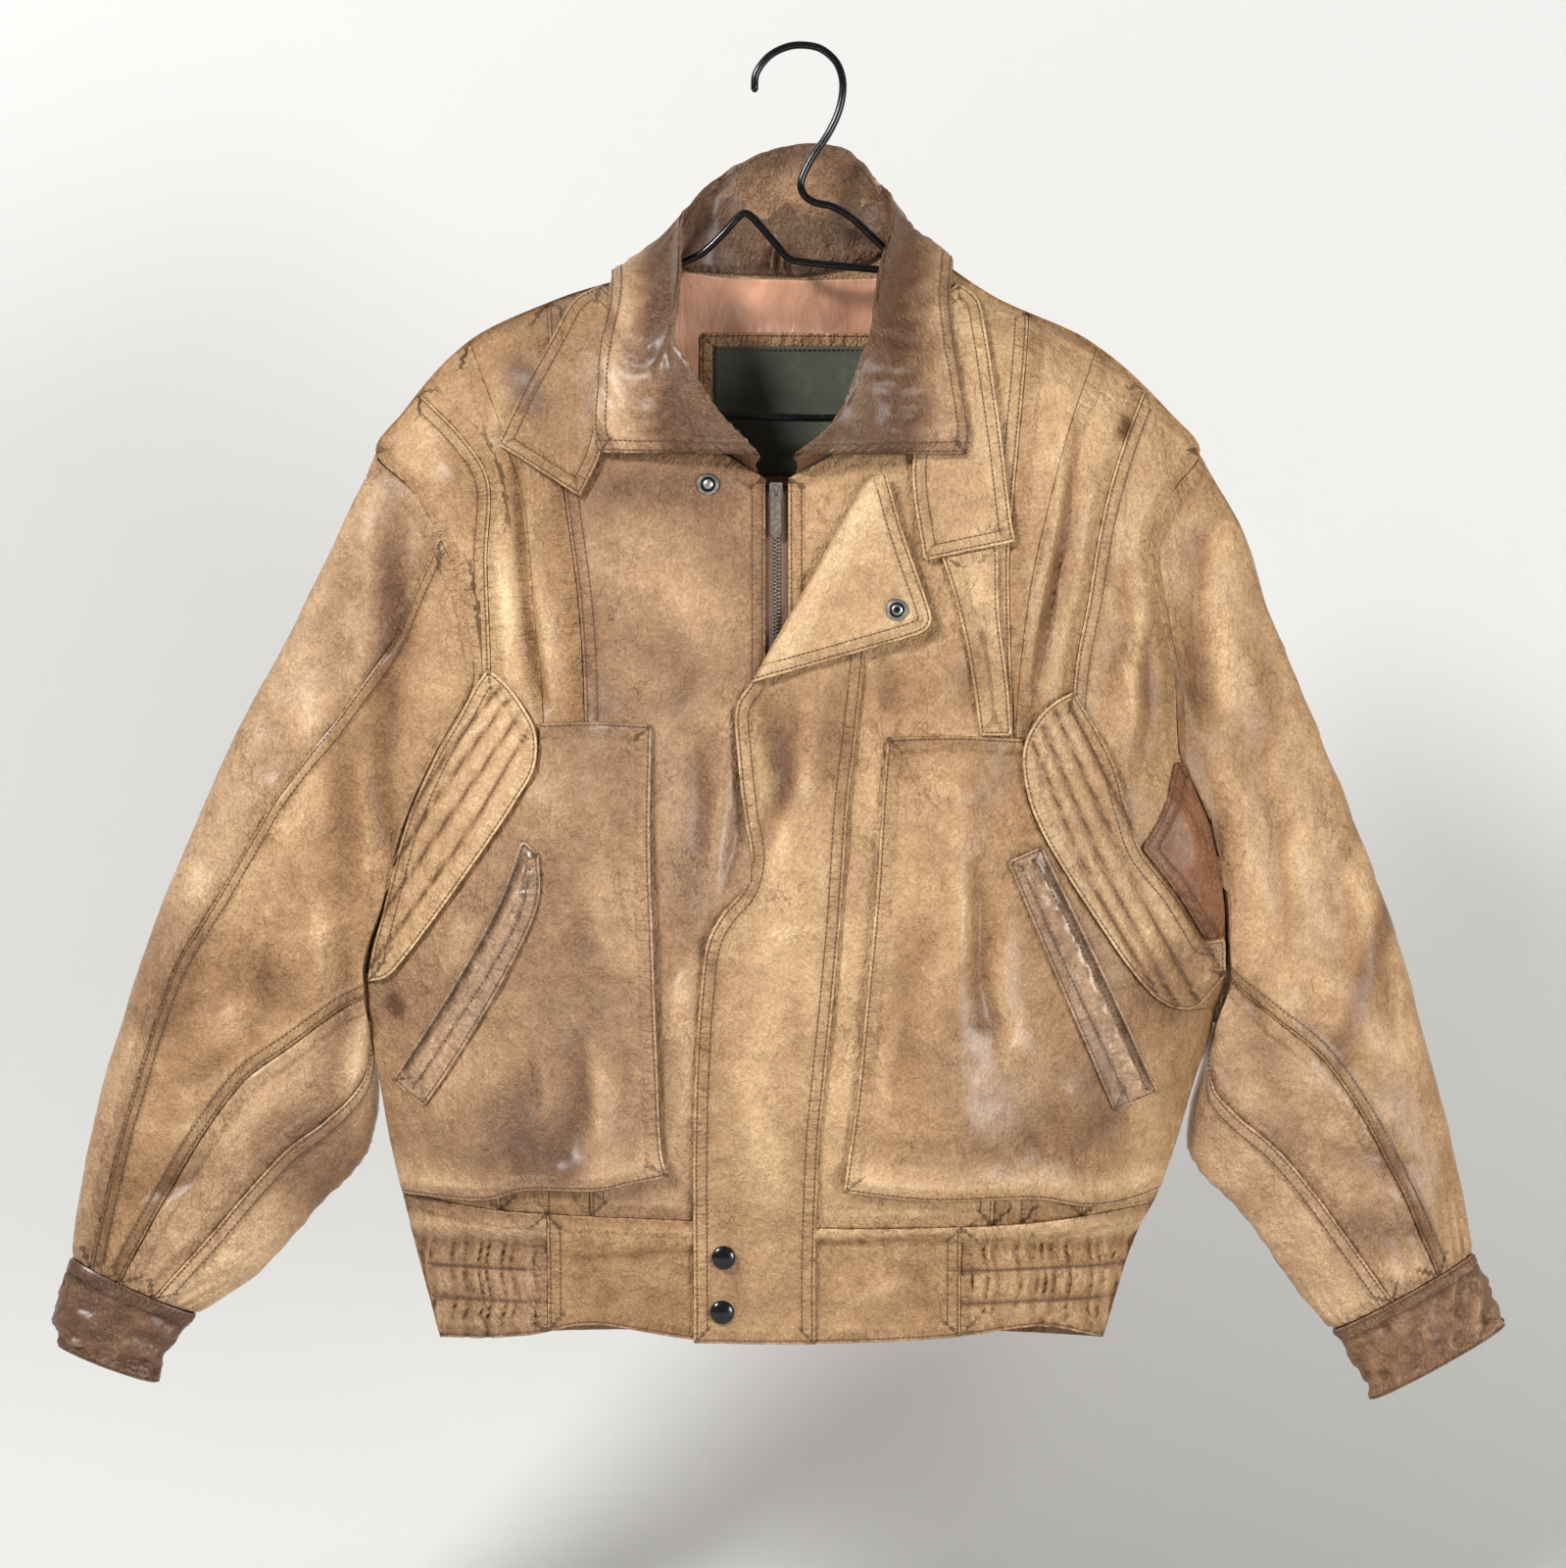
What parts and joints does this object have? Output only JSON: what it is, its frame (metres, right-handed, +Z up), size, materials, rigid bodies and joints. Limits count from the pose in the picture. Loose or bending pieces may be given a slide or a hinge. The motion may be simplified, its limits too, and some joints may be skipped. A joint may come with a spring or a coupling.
{
  "type": "leather jacket on a wire hanger",
  "caption": "Worn tan leather blouson jacket hanging zipped up on a black wire hanger, with a folded storm flap, quilted chest leaves, pocket panels and an elastic waistband.",
  "frame": {"origin": "inside of the crown of the hanger's hook, where a rail, peg or wall hook bears", "axes": "+X towards the wearer's left (right in the front view), -Y is the front of the jacket, +Z up"},
  "size_m": [0.937, 0.1189, 0.877],
  "materials": {
    "leather_tan": "worn full-grain leather, crackled and rubbed",
    "leather_mid": "mottled mid-brown worn leather",
    "leather_dark": "darkened glossy leather",
    "leather_red": "reddish leather",
    "leather_light": "light tan leather",
    "satin": "satin lining",
    "label_cloth": "woven label, left bare",
    "zip_tape": "woven zip tape",
    "snap_metal": "aged metal",
    "snap_black": "black enamel",
    "wire": "black glossy coating"
  },
  "bodies": {
    "jacket": {"back_body": "leather_mid", "back_yoke": "leather_tan", "band_back": "leather_tan", "band_front_l": "leather_tan", "band_front_r": "leather_tan", "band_side_l": "leather_tan", "band_side_r": "leather_tan", "collar": "leather_mid", "collar_strap": "leather_light", "cuff_l": "leather_dark", "cuff_r": "leather_dark", "front_centre_l": "leather_tan", "front_centre_r": "leather_mid", "front_pleat_l": "leather_tan", "front_pleat_r": "leather_tan", "front_princess_l": "leather_tan", "front_princess_r": "leather_tan", "front_side_l": "leather_tan", "front_side_r": "leather_mid", "gusset_l": "leather_red", "hanger": "wire", "label": "label_cloth", "label_frame": "leather_tan", "leaf_l": "leather_tan", "leaf_r": "leather_tan", "locker_loop": "leather_dark", "neck_lining": "satin", "pocket_panel_l": "leather_tan", "pocket_panel_r": "leather_mid", "sleeve_back_l": "leather_mid", "sleeve_back_r": "leather_mid", "sleeve_main_l": "leather_tan", "sleeve_main_r": "leather_tan", "sleeve_under_l": "leather_tan", "sleeve_under_r": "leather_tan", "sleeve_wedge_l": "leather_tan", "sleeve_wedge_r": "leather_tan", "snap_cap_lower": "snap_black", "snap_cap_upper": "snap_black", "snap_socket": "snap_metal", "snap_stud": "snap_metal", "storm_flap": "leather_light", "under_collar_l": "leather_light", "under_collar_r": "leather_light", "welt_l": "leather_dark", "welt_r": "leather_dark", "zip_slider": "snap_metal", "zip_tape_l": "zip_tape", "zip_tape_r": "zip_tape"},
    "zip_pull": {"zip_pull": "snap_metal"}
  },
  "joints": [
    {"name": "zip_pull_hinge", "type": "hinge", "parent": "jacket", "child": "zip_pull", "pos_m": [-0.017, -0.05605, -0.2884], "axis": [-1, 0, 0], "range_deg": [0, 140]}
  ]
}
